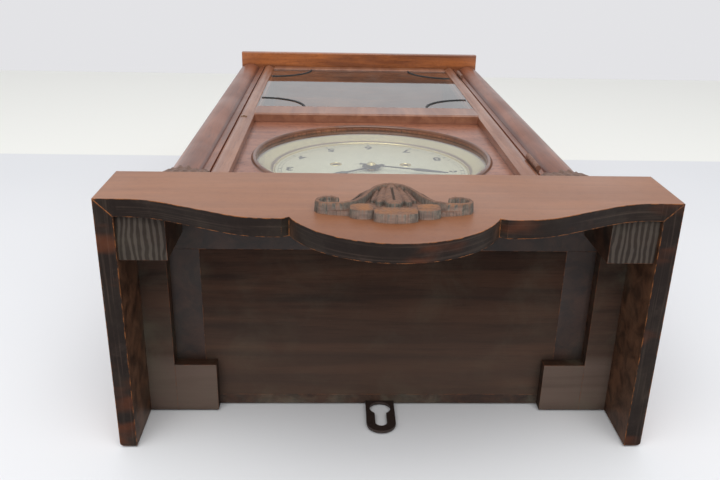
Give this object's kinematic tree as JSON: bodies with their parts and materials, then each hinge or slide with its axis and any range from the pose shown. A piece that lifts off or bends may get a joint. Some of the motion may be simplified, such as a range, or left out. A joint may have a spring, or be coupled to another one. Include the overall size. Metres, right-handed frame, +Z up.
{
  "type": "regulator wall clock",
  "caption": "Spring-driven pendulum wall clock in a wooden case with a scrolled crown, pilasters, a glazed door and a round dial.",
  "frame": {"origin": "where the hanging screw seats at the top of the keyhole plate's slot, in the plane of the wall", "axes": "+Z up, -Y towards the viewer in front of the clock, +Y into the wall, +X towards the viewer's right"},
  "size_m": [0.375, 0.193, 0.8525],
  "materials": {
    "crown_wood": "reddish brown stained and shellacked pine, worn pale along its arrises",
    "case_wood": "dark brown stained pine boards",
    "raw_wood": "unfinished blackened softwood inside the crown and behind the dial",
    "back_wood": "plain dark stained back board",
    "carved_wood": "carved crest and brackets in worn dark shellac",
    "plinth_wood": "orange brown shellacked moulding",
    "column_wood": "semi-gloss pinkish brown shellacked column",
    "door_wood": "light brown shellacked door frame",
    "panel_wood": "warm brown veneered dial panel",
    "ring_wood": "turned ring moulding, shellacked",
    "rod_wood": "varnished pendulum rod",
    "hanger_steel": "dull steel keyhole plate",
    "screw_steel": "slotted steel wood screws",
    "clear_glass": "clear window glass",
    "came_metal": "grey lead line on the lower pane",
    "hinge_brass": "aged brass hinge",
    "lock_brass": "aged brass lock",
    "lock_steel": "steel lock bolt",
    "dial_paint": "cream painted zinc dial with black numerals",
    "bezel_brass": "spun and polished brass bezel",
    "hand_steel": "blued black steel hands",
    "plate_brass": "brushed brass clock plates",
    "wheel_brass": "cut brass wheels",
    "pinion_steel": "polished steel arbors and pinions",
    "spring_steel": "thin suspension spring steel",
    "bob_brass": "brass shell pendulum bob",
    "gong_iron": "black japanned iron gong block",
    "gong_steel": "steel gong rods"
  },
  "bodies": {
    "case": {"bezel": "bezel_brass", "capitals": "carved_wood", "case_back": "back_wood", "case_sides": "case_wood", "case_top_board": "raw_wood", "crest": "carved_wood", "crown_sides": "crown_wood", "crown_soffit": "case_wood", "dial_plate": "dial_paint", "fascia": "crown_wood", "glue_blocks": "raw_wood", "gong_block": "gong_iron", "gong_rods": "gong_steel", "hanger_plate": "hanger_steel", "hanger_screws": "screw_steel", "hinge_case_leaves": "hinge_brass", "ledger_strips": "raw_wood", "movement_plates": "plate_brass", "pilaster_left": "column_wood", "pilaster_right": "column_wood", "pillars": "plate_brass", "plinth_skirt": "plinth_wood", "plinth_slab": "plinth_wood", "seat_rails": "raw_wood", "suspension_cock": "plate_brass"},
    "door": {"door_stile_right": "door_wood", "door_stile_left": "door_wood", "door_top_rail": "door_wood", "door_cross_rail": "door_wood", "door_bottom_rail": "door_wood", "dial_panel": "panel_wood", "dial_ring": "ring_wood", "dial_glass": "clear_glass", "glass_ring": "door_wood", "lower_glass": "clear_glass", "glass_beads": "door_wood", "glass_cames": "came_metal", "hinge_door_leaves": "hinge_brass", "lock_case": "lock_brass", "keyhole_bush": "lock_brass"},
    "lock_bolt": {"lock_bolt": "lock_steel"},
    "minute_hand": {"minute_hand": "hand_steel", "cannon_pinion": "pinion_steel"},
    "hour_hand": {"hour_hand": "hand_steel", "hour_wheel": "wheel_brass"},
    "minute_wheel": {"minute_wheel": "wheel_brass"},
    "centre_wheel": {"centre_wheel": "wheel_brass"},
    "third_wheel": {"third_wheel": "wheel_brass"},
    "escape_wheel": {"escape_wheel": "wheel_brass"},
    "going_barrel": {"going_barrel": "wheel_brass"},
    "strike_barrel": {"strike_barrel": "wheel_brass"},
    "going_arbor": {"going_arbor": "pinion_steel"},
    "strike_arbor": {"strike_arbor": "pinion_steel"},
    "pallets": {"pallets": "pinion_steel"},
    "pendulum": {"suspension_spring": "spring_steel", "pendulum_rod": "rod_wood", "pendulum_bob": "bob_brass"},
    "rating_nut": {"rating_nut": "plate_brass"},
    "hammers": {"hammers": "pinion_steel"}
  },
  "joints": [
    {"name": "door_swing", "type": "hinge", "parent": "case", "child": "door", "pos_m": [-0.14625, -0.1488, -0.2554], "axis": [0, 0, -1], "range_deg": [0, 95]},
    {"name": "lock_bolt_slide", "type": "slide", "parent": "door", "child": "lock_bolt", "axis": [1, 0, 0], "range_m": [0, 0.004]},
    {"name": "minute_hand_turn", "type": "hinge", "parent": "case", "child": "minute_hand", "pos_m": [0, -0.116, -0.2554], "axis": [0, 1, 0], "continuous": true},
    {"name": "hour_hand_turn", "type": "hinge", "parent": "case", "child": "hour_hand", "pos_m": [0, -0.116, -0.2554], "axis": [0, 1, 0], "continuous": true},
    {"name": "minute_wheel_turn", "type": "hinge", "parent": "case", "child": "minute_wheel", "pos_m": [0, -0.11, -0.2746], "axis": [0, 1, 0], "continuous": true},
    {"name": "third_wheel_turn", "type": "hinge", "parent": "case", "child": "third_wheel", "pos_m": [0.014, -0.078, -0.23115], "axis": [0, 1, 0], "continuous": true},
    {"name": "centre_wheel_turn", "type": "hinge", "parent": "case", "child": "centre_wheel", "pos_m": [0, -0.078, -0.2554], "axis": [0, 1, 0], "continuous": true},
    {"name": "escape_wheel_turn", "type": "hinge", "parent": "case", "child": "escape_wheel", "pos_m": [0, -0.078, -0.2142], "axis": [0, 1, 0], "continuous": true},
    {"name": "going_barrel_turn", "type": "hinge", "parent": "case", "child": "going_barrel", "pos_m": [0.0355, -0.086, -0.2724], "axis": [0, 1, 0], "continuous": true},
    {"name": "strike_barrel_turn", "type": "hinge", "parent": "case", "child": "strike_barrel", "pos_m": [-0.0355, -0.086, -0.2724], "axis": [0, 1, 0], "continuous": true},
    {"name": "going_winding_turn", "type": "hinge", "parent": "case", "child": "going_arbor", "pos_m": [0.0355, -0.086, -0.2724], "axis": [0, 1, 0], "range_deg": [0, 2520]},
    {"name": "strike_winding_turn", "type": "hinge", "parent": "case", "child": "strike_arbor", "pos_m": [-0.0355, -0.086, -0.2724], "axis": [0, 1, 0], "range_deg": [0, 2520]},
    {"name": "pendulum_swing", "type": "hinge", "parent": "case", "child": "pendulum", "pos_m": [0, -0.036, -0.19157], "axis": [0, 1, 0], "range_deg": [-3, 3]},
    {"name": "crutch_swing", "type": "hinge", "parent": "case", "child": "pallets", "pos_m": [0, -0.078, -0.19157], "axis": [0, 1, 0], "range_deg": [-3, 3]},
    {"name": "rating_nut_turn", "type": "hinge", "parent": "pendulum", "child": "rating_nut", "pos_m": [0, -0.036, -0.56157], "axis": [0, 0, 1], "continuous": true},
    {"name": "hammer_lift", "type": "hinge", "parent": "case", "child": "hammers", "pos_m": [-0.05, -0.036, -0.3034], "axis": [0, -1, 0], "range_deg": [0, 8]}
  ],
  "couplings": [
    {"joint": "hour_hand_turn", "follows": "minute_hand_turn", "ratio": 0.083333},
    {"joint": "minute_wheel_turn", "follows": "minute_hand_turn", "ratio": -0.33333},
    {"joint": "centre_wheel_turn", "follows": "third_wheel_turn", "ratio": -0.11111},
    {"joint": "escape_wheel_turn", "follows": "third_wheel_turn", "ratio": -9},
    {"joint": "going_barrel_turn", "follows": "third_wheel_turn", "ratio": 0.012346},
    {"joint": "crutch_swing", "follows": "pendulum_swing", "ratio": 1}
  ]
}
